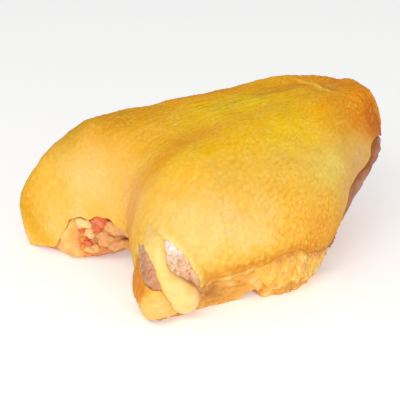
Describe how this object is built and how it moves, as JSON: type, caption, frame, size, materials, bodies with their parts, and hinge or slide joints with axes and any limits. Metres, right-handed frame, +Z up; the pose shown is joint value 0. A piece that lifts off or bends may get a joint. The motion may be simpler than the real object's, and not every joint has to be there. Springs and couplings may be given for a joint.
{
  "type": "raw chicken breast",
  "caption": "Raw, bone-in whole chicken breast with yellow skin on and wings cut off, lying keel up on its cut ribs, open underneath along the body cavity.",
  "frame": {"origin": "on the surface it lies on, under the middle of its bounding box", "axes": "+X from the neck end towards the tail end, +Y towards the far side, +Z up from the cut ribs to the keel"},
  "size_m": [0.1829, 0.1522, 0.0765],
  "materials": {
    "skin": "damp raw skin with feather follicles",
    "flesh": "damp raw flesh",
    "fat": "soft glossy fat",
    "red_flesh": "damp dark red muscle"
  },
  "bodies": {
    "root": {"skin": "skin", "flesh": "flesh", "neck_fat_near": "fat", "neck_fat_far": "fat", "neck_muscle_near": "red_flesh", "neck_muscle_far": "red_flesh", "neck_flap_near": "flesh", "neck_flap_far": "flesh", "wing_joint_fat_near": "fat", "wing_joint_fat_far": "fat", "rib_flap_near": "fat", "rib_flap_far": "fat"}
  },
  "joints": []
}
